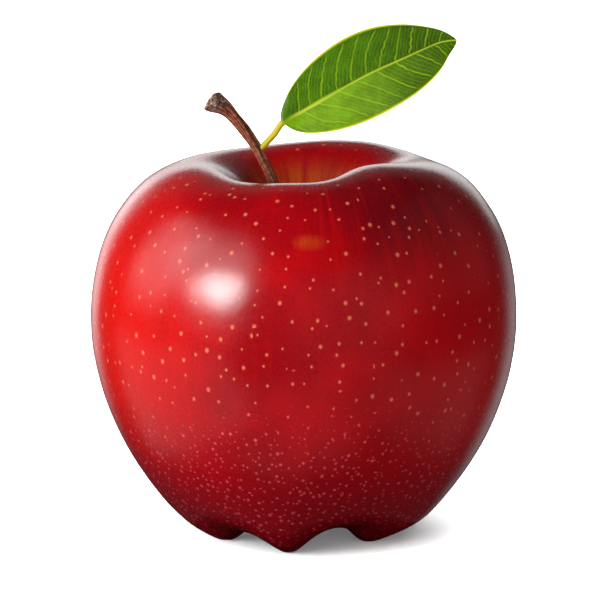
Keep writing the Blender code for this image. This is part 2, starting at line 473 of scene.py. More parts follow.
@dataclass(frozen=True)
class WaxedSkin:
    """Ripe apple skin under its own wax, rubbed to a shine.

    The deep crimson ground with faint meridian streaks makes the fruit look ripe and round,
    the cork pores scattered over it give its scale, and the thin wax coat carries the
    soft studio reflections.
    """

    ground: str = "#BE0410"
    shade: str = "#A2020E"
    streak: str = "#CC140C"
    basin: str = "#860A18"
    cavity: str = "#D2601E"
    # Painted shade: the deeper red that darkens the whole cavity.
    cavity_painted_shade: str = "#9E0C14"
    russet: str = "#4A2014"
    mark: str = "#E0661C"
    pore: str = "#F28260"
    # The pores' pink low down is painted shade; higher up they are orange.
    low_pore_painted_shade: str = "#F05E66"
    base_pore_painted_shade: str = "#E25262"
    # The first two patches are painted light: a lighter, brighter red at the front left and
    # front right.
    painted_light_left: TonePatch = TonePatch((-36.0, -14.0, 44.0), 10.0, 34.0, 0.7, "#E8160A")
    painted_light_right: TonePatch = TonePatch((34.0, -12.0, 34.0), 8.0, 40.0, 0.8, "#D00A18")
    shoulder: TonePatch = TonePatch((15.0, -23.0, 70.0), 4.0, 18.0, 0.85, "#6E0612")
    upper_pores: Pores = Pores(4.3, 0.56)
    base_pores: Pores = Pores(2.0, 0.5)
    streaks_per_radian: float = 26.0
    streak_stretch: float = 0.06
    mark_centre: tuple[float, float, float] = (1.0, -35.5, 63.0)
    mark_flatness: float = 2.2
    mark_radius: float = 4.2

    def build(self) -> bpy.types.Material:
        """Makes the material.

        Returns:
            The finished material.
        """
        material, g = new_material("waxed_apple_skin")
        mm = g.mm()
        height = g.add("SeparateXYZ", mm, out="Z")
        meridian = self.meridians(g, mm, height)
        inside = g.add("Attribute", attribute_name="cavity", out="Fac")
        fine = g.add("TexNoise", meridian, Scale=1.9, Detail=4.0, Roughness=0.6)
        colour = self.tones(g, mm, height, meridian)
        colour = self.cavity_ground(g, colour, height, meridian, inside, fine)
        colour = self.specks(g, colour, mm, height, inside, fine)

        scuffs = g.add("TexNoise", mm, Scale=1.4, Detail=6.0, Roughness=0.75)
        dents = g.add("TexNoise", mm, Scale=0.5, Detail=2.0)
        relief = g.math("ADD", g.math("MULTIPLY", scuffs, 0.3), dents)
        brushed = g.math("MULTIPLY", fine, g.grade(height, 58.0, 66.0, 0.0, 1.5))
        relief = g.math("ADD", relief, brushed)
        rubbed = g.add("TexNoise", mm, Scale=2.2, Detail=4.0, Roughness=0.7)
        shader = g.add(
            "BsdfPrincipled",
            Base_Color=colour,
            Roughness=g.grade(scuffs, 0.3, 0.7, 0.24, 0.34),
            IOR=1.45,
            Specular_IOR_Level=0.25,
            Subsurface_Weight=0.25,
            Subsurface_Radius=(1.0, 0.1, 0.08),
            Subsurface_Scale=0.012,
            Coat_Weight=0.8,
            Coat_Roughness=0.11,
            Coat_IOR=1.44,
            Normal=g.add("Bump", Strength=0.12, Distance=0.0004, Height=relief),
            Coat_Normal=g.add("Bump", Strength=0.12, Distance=0.0002, Height=rubbed),
        )
        g.add("OutputMaterial", shader)
        return material

    def meridians(
        self, g: Graph, mm: bpy.types.NodeSocket, height: bpy.types.NodeSocket
    ) -> bpy.types.NodeSocket:
        """The place that the streaks read: the direction from the axis, with a little height.

        Noise on it changes far faster round the fruit than up it.

        Args:
            g: The graph to add to.
            mm: The point on the object.
            height: Its height.

        Returns:
            A vector output.
        """
        flat = g.add("VectorMath", mm, (1.0, 1.0, 0.0), operation="MULTIPLY")
        outward = g.add("VectorMath", flat, operation="NORMALIZE")
        ring = g.add("VectorMath", outward, operation="SCALE", Scale=self.streaks_per_radian)
        up = g.add("CombineXYZ", 0.0, 0.0, g.math("MULTIPLY", height, self.streak_stretch))
        return g.add("VectorMath", ring, up, operation="ADD")

    def tones(
        self,
        g: Graph,
        mm: bpy.types.NodeSocket,
        height: bpy.types.NodeSocket,
        meridian: bpy.types.NodeSocket,
    ) -> bpy.types.NodeSocket:
        """The reds of the skin: clouds, patches with streaky edges, streaks, a dark base. The
        lighter red patches at the front left and front right are painted light.

        Args:
            g: The graph to add to.
            mm: The point on the object.
            height: Its height.
            meridian: The place that the streaks read.

        Returns:
            The colour.
        """
        streaks = g.add("TexNoise", meridian, Scale=1.0, Detail=5.0, Roughness=0.62)
        clouds = g.add("TexNoise", mm, Scale=0.055, Detail=3.0, Roughness=0.5)
        colour = g.blend(g.grade(clouds, 0.35, 0.68), srgb(self.shade), srgb(self.ground))
        # The first two patches are painted light; the shoulder patch is a darker red.
        for tone_patch in (self.painted_light_left, self.painted_light_right, self.shoulder):
            away = g.add("VectorMath", mm, tone_patch.centre, operation="DISTANCE", out="Value")
            away = g.math("ADD", away, g.grade(streaks, 0.3, 0.7, -2.5, 2.5))
            share = g.grade(away, tone_patch.far, tone_patch.near, 0.0, tone_patch.share)
            colour = g.blend(share, colour, srgb(tone_patch.colour))
        colour = g.blend(g.grade(streaks, 0.5, 0.8, 0.0, 0.35), colour, srgb(self.streak))
        return g.blend(g.grade(height, 32.0, 4.0, 0.0, 0.75), colour, srgb(self.basin))

    def cavity_ground(
        self,
        g: Graph,
        colour: bpy.types.NodeSocket,
        height: bpy.types.NodeSocket,
        meridian: bpy.types.NodeSocket,
        inside: bpy.types.NodeSocket,
        fine: bpy.types.NodeSocket,
    ) -> bpy.types.NodeSocket:
        """The stem cavity: orange ground shows low down between brown russet rays.

        Args:
            g: The graph to add to.
            colour: The skin's colour so far.
            height: The point's height.
            meridian: The place that the streaks read.
            inside: 1 in the cavity.
            fine: Fine streaks.

        Returns:
            The colour with the cavity's ground and rays.
        """
        deep = g.math("MULTIPLY", inside, g.grade(height, 70.5, 63.5))
        # Painted shade: the whole cavity is darkened to a deeper red.
        colour = g.blend(g.math("MULTIPLY", inside, 0.7), colour, srgb(self.cavity_painted_shade))
        rays = g.add("TexNoise", meridian, Scale=0.42, Detail=6.0, Roughness=0.7)
        share = g.math("MULTIPLY", deep, g.grade(rays, 0.38, 0.6, 0.2, 0.9))
        colour = g.blend(share, colour, srgb(self.cavity))
        share = g.math("MULTIPLY", inside, g.grade(fine, 0.52, 0.72, 0.0, 0.55))
        return g.blend(share, colour, srgb(self.russet))

    def specks(
        self,
        g: Graph,
        colour: bpy.types.NodeSocket,
        mm: bpy.types.NodeSocket,
        height: bpy.types.NodeSocket,
        inside: bpy.types.NodeSocket,
        fine: bpy.types.NodeSocket,
    ) -> bpy.types.NodeSocket:
        """The pores, few and large above, many and small below, and one small orange mark.

        Args:
            g: The graph to add to.
            colour: The skin's colour so far.
            mm: The point on the object.
            height: Its height.
            inside: 1 in the stem cavity.
            fine: Fine streaks.

        Returns:
            The colour with pores and mark.
        """
        above = self.upper_pores.add_to(g, mm, g.grade(height, 4.0, 34.0, 0.4))
        above = g.math("MULTIPLY", above, g.grade(inside, 0.3, 0.0, 0.0, 0.9))
        # Painted shade: the pores turn from orange above to pink below.
        tone = g.blend(g.grade(height, 24.0, 40.0), srgb(self.low_pore_painted_shade), srgb(self.pore))
        colour = g.blend(above, colour, tone)
        below = self.base_pores.add_to(g, mm, g.grade(height, 42.0, 14.0))
        # The pink of the lower pores is painted shade.
        colour = g.blend(g.math("MULTIPLY", below, 0.8), colour, srgb(self.base_pore_painted_shade))
        gap = g.add("VectorMath", mm, self.mark_centre, operation="SUBTRACT")
        gap = g.add("VectorMath", gap, (1.0, 1.0, self.mark_flatness), operation="MULTIPLY")
        away = g.add("VectorMath", gap, operation="LENGTH", out="Value")
        mark = g.grade(away, self.mark_radius, 0.6, 0.0, 0.75)
        share = g.math("MULTIPLY", mark, g.grade(fine, 0.4, 0.6, 0.3, 0.6))
        return g.blend(share, colour, srgb(self.mark))


@dataclass(frozen=True)
class StemBark:
    """Dry woody bark, furrowed along its length, with grey flecks and a broken, corky end.

    Its rough, uneven brown makes the stem look old and dead against the fresh skin. Its furrows
    are darkened with painted shade.
    """

    warm: str = "#CC744C"
    middle: str = "#7E3424"
    dark: str = "#341812"
    low: str = "#54141A"
    grey: str = "#9A948E"
    crust: str = "#BFAE98"

    def build(self) -> bpy.types.Material:
        """Makes the material.

        Returns:
            The finished material.
        """
        material, g = new_material("dry_stem_bark")
        mm = g.mm()
        length = g.add("Attribute", attribute_name="along", out="Fac")
        furrow_shade_ridge = g.add("Attribute", attribute_name="furrow_shade_ridge", out="Fac")
        grain = g.add("TexNoise", mm, Scale=1.1, Detail=7.0, Roughness=0.7)
        colour = g.blend(g.grade(grain, 0.36, 0.62), srgb(self.middle), srgb(self.warm))
        # Painted shade: the furrows are darkened.
        colour = g.blend(g.grade(furrow_shade_ridge, 0.1, -0.45, 0.0, 0.8), colour, srgb(self.dark))
        colour = g.blend(g.grade(length, 0.6, 0.25, 0.0, 0.8), colour, srgb(self.low))
        blots = g.add("TexNoise", mm, Scale=1.9, Detail=3.0, Roughness=0.6)
        colour = g.blend(g.grade(blots, 0.56, 0.64, 0.0, 0.6), colour, srgb(self.dark))
        flecks = g.add("TexNoise", mm, Scale=1.7, Detail=5.0, Roughness=0.8)
        share = g.math("MULTIPLY", g.grade(length, 0.45, 0.55), g.grade(length, 0.8, 0.7))
        share = g.math("MULTIPLY", g.grade(flecks, 0.56, 0.66, 0.0, 0.7), share)
        colour = g.blend(share, colour, srgb(self.grey))
        end = g.add("Attribute", attribute_name="end", out="Fac")
        colour = g.blend(g.math("MULTIPLY", end, 0.7), colour, srgb(self.dark))
        share = g.math("MULTIPLY", g.grade(flecks, 0.49, 0.58, 0.0, 0.85), end)
        colour = g.blend(share, colour, srgb(self.crust))
        bump = g.add("Bump", Strength=0.8, Distance=0.0003, Height=grain)
        shader = g.add(
            "BsdfPrincipled",
            Base_Color=colour,
            Roughness=g.grade(grain, 0.3, 0.7, 0.5, 0.8),
            IOR=1.5,
            Normal=bump,
        )
        g.add("OutputMaterial", shader)
        return material


@dataclass(frozen=True)
class LeafBlade:
    """A fresh leaf's smooth outer layer: deep green between pale yellow-green veins.

    The low sheen and the fine net of cells between the veins make the leaf look living.
    """

    upper: str = "#3C6E02"
    lower: str = "#6A9606"
    tip: str = "#284C02"
    back: str = "#7DA03A"
    vein: str = "#A4C816"
    midrib: str = "#B8CC30"
    stalk: str = "#D2C22E"
    margin: str = "#C8CE20"

    def build(self) -> bpy.types.Material:
        """Makes the material.

        Returns:
            The finished material.
        """
        material, g = new_material("fresh_leaf_cuticle")
        mm = g.mm()
        cells = g.add("TexVoronoi", mm, Scale=2.2, feature="DISTANCE_TO_EDGE")
        clouds = g.add("TexNoise", mm, Scale=0.4, Detail=5.0, Roughness=0.6)
        values = {
            key: g.add("Attribute", attribute_name=key, out="Fac")
            for key in ("side", "vein", "midrib", "margin", "stalk", "back")
        }
        towards_tip = g.grade(g.add("SeparateXYZ", mm, out="X"), 6.0, 24.0, 0.0, 0.85)
        # Painted light and shade: the half below the midrib is a lighter yellow-green than the
        # darker half above it.
        colour = g.blend(values["side"], srgb(self.lower), srgb(self.upper))
        colour = g.blend(towards_tip, colour, srgb(self.tip))
        mottle = g.grade(clouds, 0.3, 0.7, 0.75, 1.2)
        colour = g.add("HueSaturation", Value=mottle, Color=colour)
        colour = g.blend(g.grade(cells, 0.08, 0.0, 0.0, 0.16), colour, srgb(self.vein))
        colour = g.blend(g.math("MULTIPLY", values["vein"], 0.8), colour, srgb(self.vein))
        colour = g.blend(values["back"], colour, srgb(self.back))
        colour = g.blend(values["margin"], colour, srgb(self.margin))
        colour = g.blend(values["midrib"], colour, srgb(self.midrib))
        colour = g.blend(values["stalk"], colour, srgb(self.stalk))
        relief = g.math("SUBTRACT", g.grade(cells, 0.0, 0.25), values["vein"])
        bump = g.add("Bump", Strength=0.1, Distance=0.0002, Height=relief)
        shader = g.add(
            "BsdfPrincipled",
            Base_Color=colour,
            Roughness=0.36,
            IOR=1.45,
            Specular_IOR_Level=0.18,
            Normal=bump,
        )
        g.add("OutputMaterial", shader)
        return material


@dataclass(frozen=True)
class DriedTissue:
    """Shrivelled, papery plant tissue: matt brown with darker folds, which looks dry."""

    name: str
    light: str
    dark: str
    scale: float

    def build(self) -> bpy.types.Material:
        """Makes the material.

        Returns:
            The finished material.
        """
        material, g = new_material(self.name)
        mm = g.mm()
        grain = g.add("TexNoise", mm, Scale=self.scale, Detail=6.0, Roughness=0.7)
        colour = g.blend(g.grade(grain, 0.35, 0.65), srgb(self.dark), srgb(self.light))
        bump = g.add("Bump", Strength=0.5, Distance=0.0002, Height=grain)
        shader = g.add("BsdfPrincipled", Base_Color=colour, Roughness=0.85, IOR=1.5, Normal=bump)
        g.add("OutputMaterial", shader)
        return material


# Pieces ---------------------------------------------------------------------------------


def attach(obj: bpy.types.Object, node: str) -> None:
    """Ties a finished piece to the frame and reports it.

    Args:
        obj: The piece.
        node: The CAD node that it stands for.
    """
    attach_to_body(obj, BODY)
    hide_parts(node)
    log.info("%s stands for %s, %d faces", obj.name, node, len(obj.data.polygons))


@dataclass(frozen=True)
class Swell:
    """A smooth swell, or dip, round an azimuth. Angles are in degrees."""

    azimuth: float
    width: float
    height: float

    def at(self, azimuth: Grid) -> Grid:
        """The swell's height at each azimuth in radians.

        Args:
            azimuth: The azimuths, in radians.

        Returns:
            The height there.
        """
        return self.height * bell(azimuth, math.radians(self.azimuth), math.radians(self.width))


@dataclass(frozen=True)
class FruitBody:
    """The fruit: a turned outline with five lobes, an uneven crown and a stem cavity."""

    outline: Path = (
        (0.0, 9.5), (3.0, 9.3), (7.0, 7.2), (10.6, 2.8), (14.4, -0.2), (18.6, 0.9),
        (23.0, 3.9), (27.8, 9.0), (33.2, 17.0), (37.4, 26.5), (39.7, 36.0), (40.0, 45.0),
        (38.5, 54.3), (34.9, 62.2), (29.0, 68.4), (23.0, 70.9), (18.2, 70.8), (13.5, 68.3),
        (9.0, 63.2), (4.6, 58.4), (0.0, 57.0),
    )  # fmt: skip
    span_steps: int = 24
    rings: int = 240
    segments: int = 360
    lobes: tuple[Swell, ...] = (
        Swell(-11, 18, 1), Swell(65, 25, 1), Swell(140, 23, 1), Swell(213, 23, 1),
        Swell(287, 20, 1),
    )  # fmt: skip
    foot_reach: tuple[Swell, ...] = (Swell(-11, 42, -0.02), Swell(65, 42, -0.12))
    arch_rise: float = 4.9
    arch_radius: float = 15.0
    arch_inner: float = 6.0
    arch_outer: float = 12.0
    shallow_arch: Swell = Swell(-42, 22, 0.28)
    flank_inset: float = 0.4
    crest_dip: float = 0.6
    crest: tuple[Swell, ...] = (
        Swell(39, 26, 2.3), Swell(80, 32, 0.9), Swell(122, 25, -0.6), Swell(160, 30, 0.6),
        Swell(211, 22, -0.9), Swell(-20, 20, -0.2),
    )  # fmt: skip
    cavity_inset: Swell = Swell(48, 34, 0.16)
    crown_lean: float = 0.35

    # Where each of these changes sets in or fades out: the limits of a smooth rise.
    base_heights: Limits = (20, 40)
    foot_radii: Limits = (15, 25)
    crown_heights: Limits = (50, 64)
    crown_radii: Limits = (26, 36)
    flank_heights: Limits = (62, 68)
    flank_radii: Limits = (20, 30)
    cavity_heights: Limits = (50, 60)
    cavity_radii: Limits = (12, 24)
    lean_heights: Limits = (45, 70)

    # The faint unevenness of the skin, which leaves the soles of the feet flat.
    unevenness: float = 0.03
    broad_wave: float = 17.0
    short_wave: float = 8.0
    sole_heights: Limits = (2, 8)
    middle: tuple[float, float, float] = (0.0, 0.0, 38.0)

    # Radii over which the colours of the cavity turn into those of the crown.
    lip_radii: Limits = (10, 19)

    def grown(self, radius: Grid, height: Grid, azimuth: Grid) -> Grid:
        """Moves points of the turned outline to their places on the lobed fruit.

        Below, the furrows between the lobes rise in arches round the ring of feet. On the
        flanks the furrows lie a little inside the lobes. Above, the crest swells and dips
        with the azimuth and leans to +X, and the cavity is narrower on one side.

        Args:
            radius: Distances from the axis.
            height: Heights.
            azimuth: Azimuths in radians.

        Returns:
            Points in the last axis of the grid.
        """
        furrow = 1 - sum(lobe.at(azimuth) for lobe in self.lobes)
        below = 1 - smooth_step(*self.base_heights, height)
        above = smooth_step(*self.crown_heights, height)
        above = above * (1 - smooth_step(*self.crown_radii, radius))
        flank = smooth_step(*self.flank_radii, radius)
        flank = flank * (1 - smooth_step(*self.flank_heights, height))
        inside = smooth_step(*self.cavity_heights, height)
        inside = inside * (1 - smooth_step(*self.cavity_radii, radius))
        side = np.where(radius < self.arch_radius, self.arch_inner, self.arch_outer)
        arch = np.exp(-(((radius - self.arch_radius) / side) ** 2))
        swell = sum(part.at(azimuth) for part in self.crest)
        reach = sum(foot.at(azimuth) for foot in self.foot_reach)
        rise = self.arch_rise * (1 - self.shallow_arch.at(azimuth))

        height = height + rise * furrow * arch * below
        height = height + above * (swell - self.crest_dip * furrow)
        radius = radius - self.flank_inset * furrow * flank
        radius = radius * (1 - inside * self.cavity_inset.at(azimuth))
        inner_foot = 1 - smooth_step(*self.foot_radii, radius)
        radius = radius * (1 + reach * below * inner_foot)
        x = radius * np.sin(azimuth) + self.crown_lean * smooth_step(*self.lean_heights, height)
        return np.stack([x, -radius * np.cos(azimuth), np.maximum(height, 0)], axis=-1)

    def build(self) -> bpy.types.Object:
        """Makes the fruit.

        Returns:
            The fruit's object.
        """
        outline = smooth_curve(self.outline, self.span_steps, mirrored=True)
        outline = evenly(outline, self.rings + 2)[1:-1]
        azimuth = np.linspace(0, math.tau, self.segments, endpoint=False)
        radius, around = np.meshgrid(outline[:, 0], azimuth, indexing="ij")
        height = np.broadcast_to(outline[:, 1:], radius.shape)
        points = self.grown(radius, height, around)

        uneven = ripples(points, self.broad_wave, seed=3)
        uneven = uneven + 0.5 * ripples(points, self.short_wave, seed=4)
        uneven = uneven * smooth_step(*self.sole_heights, points[..., 2])
        outward = points - np.array(self.middle)
        outward /= np.linalg.norm(outward, axis=-1, keepdims=True)
        points = points + outward * (uneven * self.unevenness)[..., None]

        past_crest = np.arange(self.rings) > np.argmax(outline[:, 1])
        cavity = past_crest * (1 - smooth_step(*self.lip_radii, outline[:, 0]))
        values = {"cavity": np.broadcast_to(cavity[:, None], radius.shape)}
        obj = Surface(points, values).build("apple_fruit", WaxedSkin().build())
        attach(obj, "fruit_body")
        return obj


@dataclass(frozen=True)
class Stem:
    """The woody stem, a furrowed rod that flares to its broken end."""

    path: Path = (
        (-0.6, 55.6), (-1.6, 58.6), (-3.2, 62.2), (-5.6, 67.2), (-8.5, 73.2),
        (-11.6, 77.9), (-14.0, 80.5), (-15.7, 81.9), (-16.9, 82.9),
    )  # fmt: skip
    radii: tuple[float, ...] = (1.05, 1.0, 0.9, 0.9, 0.95, 1.1, 1.2, 1.75, 2.05)
    span_steps: int = 40
    rings: int = 260
    segments: int = 96
    end_rings: int = 14
    furrows: int = 9
    twist: float = 0.9
    sway: float = 0.25

    # Depths as shares of the radius.
    furrow_depth: float = 0.10
    lump_depth: float = 0.05
    knob_depth: float = 0.16

    # Shares of the length over which the knob sets in, and the corky end.
    knob_shares: Limits = (0.78, 0.95)
    cork_shares: Limits = (0.90, 0.975)
    end_bulge: float = 0.55
    end_roughness: float = 0.2

    def relief(self, share: Grid, angle: Grid) -> tuple[Grid, Grid]:
        """The furrows and lumps of the rod.

        The furrows are waves round the rod that wander along it. Lumps are seeded ripples
        on the rod's own cylinder, drawn out to fit its length, and deeper on the knob.

        Args:
            share: Shares of the length, in a column.
            angle: Angles round the rod, in a row.

        Returns:
            The furrows' wave of about -0.5 to 0.5, and the relief as a share of the radius.
        """
        turn = angle + self.twist * share + self.sway * np.sin(9 * share)
        climb = np.broadcast_to(3.0 * share, turn.shape)
        cylinder = np.stack([np.cos(turn), np.sin(turn), climb], axis=-1)
        furrow = 0.5 * np.cos(self.furrows * turn + 2.0 * ripples(cylinder, 1.9, seed=11))
        lumps = ripples(cylinder * np.array([1, 1, 4]), 1.3, seed=12)
        knots = ripples(cylinder * np.array([1, 1, 2.6]), 1.2, seed=13)
        knots = knots * smooth_step(*self.knob_shares, share)
        depth = self.furrow_depth * furrow + self.lump_depth * lumps + self.knob_depth * knots
        return furrow, depth

    def broken_end(self, path: Grid, rod: Grid) -> Grid:
        """Rings that shrink from the rod's last one to the middle of the rough, domed end.

        Args:
            path: Points along the rod's middle.
            rod: The rod's rings.

        Returns:
            The rings of the end.
        """
        ahead = path[-1] - path[-4]
        ahead /= np.linalg.norm(ahead)
        shrink = np.linspace(1, 0, self.end_rings + 1)[1:-1, None, None]
        face = path[-1] + (rod[-1] - path[-1]) * shrink
        inner = 1 - shrink[..., 0] ** 4
        rough = self.end_roughness * ripples(face, 0.9, seed=14) * inner
        return face + ahead * (rough + self.end_bulge * np.sqrt(inner))[..., None]

    def build(self) -> bpy.types.Object:
        """Makes the stem: rings of the radius times 1 plus the relief, then the broken end.

        Returns:
            The stem's object.
        """
        centre = smooth_curve(self.path, self.span_steps)
        radius = smooth_curve([(r, 0.0) for r in self.radii], self.span_steps)[:, :1]
        line = evenly(np.hstack([centre, radius]), self.rings)
        path, above = upright_path(line)
        share = np.linspace(0, 1, self.rings)
        angle = np.linspace(0, math.tau, self.segments, endpoint=False)
        furrow, relief = self.relief(share[:, None], angle)
        reach = (line[:, 2:] * (1 + relief))[..., None]
        backward = np.array([0.0, 1.0, 0.0])
        round_path = above[:, None] * np.cos(angle)[:, None] + backward * np.sin(angle)[:, None]
        rod = path[:, None] + round_path * reach
        start = path[:1, None] + (rod[:1] - path[:1, None]) * 0.3
        face = self.broken_end(path, rod)
        rings = np.concatenate([start, rod, face])

        along = np.concatenate([[0], share, np.ones(len(face))])
        cork = np.concatenate([[0], smooth_step(*self.cork_shares, share), np.ones(len(face))])
        # The furrow wave, from which the bark paints shade into the furrows.
        furrow_shade_ridge = np.concatenate([furrow[:1], furrow, np.zeros((len(face), self.segments))])
        values = {
            "along": np.broadcast_to(along[:, None], furrow_shade_ridge.shape),
            "furrow_shade_ridge": furrow_shade_ridge[:, ::-1],
            "end": np.broadcast_to(cork[:, None], furrow_shade_ridge.shape),
        }
        # The rings run the other way round, so that the faces point outwards.
        obj = Surface(rings[:, ::-1], values).build("apple_stem", StemBark().build())
        attach(obj, "stem")
        return obj


@dataclass(frozen=True)
class Leaf:
    """One oval leaf on a short stalk, folded a little along its midrib.

    Its width is counted aside from the midrib, with the half above it positive.
    """

    stalk_path: Path = ((-8.3, 73.7), (-7.5, 74.3), (-6.5, 75.4), (-5.3, 76.8))
    stalk_radius: float = 0.62
    midrib: Path = (
        (-4.0, 78.6), (-0.6, 80.6), (6.4, 84.7), (12.6, 88.1), (17.6, 90.4),
        (22.8, 92.8), (26.0, 94.0), (28.5, 94.3),
    )  # fmt: skip
    span_steps: int = 40
    rings: int = 300
    segments: int = 180
    half_width: float = 8.0
    roundness: float = 0.6
    tip_taper: float = 0.38
    tip_lean: float = 0.28
    tip_power: int = 8
    blade_onset: float = 0.12
    half_thickness: float = 0.14
    tip_radius: float = 0.1
    fold: float = 0.16
    tilt: float = 16.0
    wave_height: float = 0.22
    wave_length: float = 3.1

    # Side veins: how far apart they leave the midrib, how far they lean to the tip for
    # each millimetre aside, and how they curve back.
    upper_spacing: float = 3.0
    lower_spacing: float = 4.0
    upper_slant: float = 0.5
    lower_slant: float = 0.78
    vein_curve: float = 0.03
    vein_radius: float = 0.10
    fine_veins: int = 4
    fine_share: float = 0.26

    # The midrib stands out of the back, and is a pale stripe on the front.
    rib_height: float = 0.42
    rib_spread: float = 0.55
    rib_thinning: float = 0.75
    rib_half_widths: tuple[float, float, float] = (0.34, 0.17, 0.1)
    vein_dip: float = 0.035
    vein_height: float = 0.05
    rib_dip: float = 0.3

    # Shares of the half width over which the veins fade, and the pale margin sets in.
    vein_fade: Limits = (0.80, 0.96)
    margin_shares: Limits = (0.93, 0.975)

    def half_widths(self, share: Grid) -> tuple[Grid, Grid]:
        """Half widths of the leaf above and below the midrib.

        Each is an oval, 8 (4s(1-s))^0.6 of the share s of the blade's length, that narrows
        towards the drawn-out tip. It never falls below the stalk's radius, or the tip's.

        Args:
            share: Shares of the blade's length, negative on the stalk.

        Returns:
            The upper and the lower half width at each share.
        """
        inside = np.clip(share, 0, 1)
        in_blade = smooth_step(0, self.blade_onset, share)
        oval = self.half_width * (4 * inside * (1 - inside)) ** self.roundness
        narrowest = self.stalk_radius * (1 - in_blade) + self.tip_radius * in_blade
        near_tip = inside**self.tip_power
        upper = oval * (1 - (self.tip_taper + self.tip_lean) * near_tip)
        lower = oval * (1 - (self.tip_taper - self.tip_lean) * near_tip)
        return np.maximum(upper, narrowest), np.maximum(lower, narrowest)

    def veins(self, level: Grid, aside: Grid) -> tuple[Grid, Grid]:
        """The side veins, and the finer ones between them.

        A vein is where level - slant |aside| - curve aside^2, plus a seeded wander, is a
        whole multiple of the spacing.

        Args:
            level: Distances along the midrib from the blade's start, in a column.
            aside: Distances aside from it.

        Returns:
            The side veins and the fine veins, each 1 on a vein and 0 beside it.
        """
        place_on_leaf = np.stack([np.broadcast_to(level, aside.shape), aside], axis=-1)
        wander = 0.35 * ripples(place_on_leaf * np.array([1.0, 0.4]), 7.0, seed=21)
        wander = wander + 0.1 * ripples(place_on_leaf, 1.6, seed=22)
        slant = np.where(aside >= 0, self.upper_slant, self.lower_slant)
        spacing = np.where(aside >= 0, self.upper_spacing, self.lower_spacing)
        reach = np.abs(aside)
        source = level - reach * slant - self.vein_curve * reach**2 + wander
        side_veins = self.lines(source, spacing) * smooth_step(0.0, 0.6, reach)
        fine_veins = self.lines(source + spacing * 0.27, spacing / self.fine_veins)
        return side_veins, fine_veins

    def lines(self, position: Grid, spacing: Grid) -> Grid:
        """Thin lines at every whole multiple of the spacing: exp(-(d / radius)^2).

        Args:
            position: Distance along the midrib, in millimetres.
            spacing: Distance between lines.

        Returns:
            1 on a line, falling to 0 beside it.
        """
        gap = np.abs(position / spacing - np.round(position / spacing)) * spacing
        return np.exp(-((gap / self.vein_radius) ** 2))

    def build(self) -> bpy.types.Object:
        """Makes the leaf.

        Each ring runs along the front of the blade from one margin to the other and back
        along its rear. The blade is a thin lens that folds forward in proportion to the
        distance aside, and waves more towards its margins.

        Returns:
            The leaf's object.
        """
        curve = smooth_curve(self.stalk_path + self.midrib, self.span_steps)
        path, above = upright_path(evenly(curve, self.rings))
        lengths = np.linalg.norm(np.diff(curve, axis=0), axis=1)
        stalk_length = lengths[: self.span_steps * len(self.stalk_path)].sum()
        level = np.linspace(0, lengths.sum(), self.rings)[:, None] - stalk_length
        share = level / (lengths.sum() - stalk_length)
        inside = np.clip(share, 0, 1)
        blade = smooth_step(0, self.blade_onset, share)

        angle = np.linspace(0, math.tau, self.segments, endpoint=False)
        width = np.where(np.cos(angle) >= 0, *self.half_widths(share))
        aside = width * np.cos(angle)
        reach = np.abs(aside)
        to_margin = reach / np.maximum(width, 0.01)
        front = np.broadcast_to(np.sin(angle) >= 0, aside.shape)
        side_veins, fine_veins = self.veins(level, aside)
        veins = side_veins + self.fine_share * fine_veins

        rib = self.rib_height * np.exp(-((reach / self.rib_spread) ** 2))
        rib = rib * (1 - self.rib_thinning * inside)
        dips = -self.vein_dip * side_veins - self.rib_dip * rib
        relief = np.where(front, dips, -rib - self.vein_height * side_veins) * blade
        thickness = self.stalk_radius + (self.half_thickness - self.stalk_radius) * blade
        wave = np.sin(level / self.wave_length + 1.3 * (aside >= 0))
        wave = self.wave_height * wave * (reach / self.half_width) ** 2 * blade
        lift = thickness * np.sin(angle) + relief + self.fold * blade * reach + wave

        tilt = math.radians(self.tilt)
        backward = np.array([0.0, 1.0, 0.0])
        across = above * math.cos(tilt) + backward * math.sin(tilt)
        facing = above * math.sin(tilt) - backward * math.cos(tilt)
        points = path[:, None] + across[:, None] * aside[..., None]
        points = points + facing[:, None] * lift[..., None]

        stripe = np.interp(inside, (0, 0.5, 1), self.rib_half_widths)
        faded = 1 - smooth_step(*self.vein_fade, to_margin)
        values = {
            # Which half of the blade: the lower half takes the lighter, painted-light green.
            "side": smooth_step(-0.15, 0.15, aside),
            "vein": np.clip(veins * faded, 0, 1) * blade,
            "midrib": (1 - smooth_step(0.7, 1.3, reach / stripe)) * blade,
            "margin": smooth_step(*self.margin_shares, to_margin) * blade,
            "stalk": np.broadcast_to(1 - smooth_step(-0.01, 0.02, share), aside.shape),
            "back": ~front * 0.8 * blade,
        }
        obj = Surface(points, values).build("apple_leaf", LeafBlade().build())
        attach(obj, "leaf")
        # The leaf leaves no green reflection in the fruit's wax.
        obj.visible_glossy = False
        return obj


